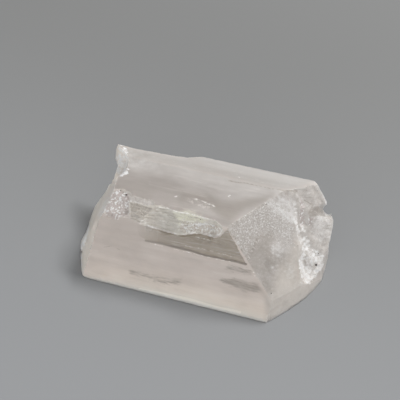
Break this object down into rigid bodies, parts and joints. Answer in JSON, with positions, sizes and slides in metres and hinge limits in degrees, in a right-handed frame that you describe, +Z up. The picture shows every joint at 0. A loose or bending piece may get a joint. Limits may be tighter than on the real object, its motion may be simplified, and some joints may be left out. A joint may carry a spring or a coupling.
{
  "type": "danburite crystal",
  "caption": "Loose clear-to-milky danburite prism with an oblique end face, broken at both ends and chipped along its upper edge.",
  "frame": {"origin": "on the surface that the crystal lies on, under the middle of its box", "axes": "+X along the prism (the c axis) towards the oblique end face, +Y towards the back, where the narrow back face is, +Z up"},
  "size_m": [0.0492, 0.0246, 0.0154],
  "materials": {
    "danburite": "glassy prism faces, frosted end face, rough white breaks"
  },
  "bodies": {
    "root": {"danburite_crystal": "danburite"}
  },
  "joints": []
}
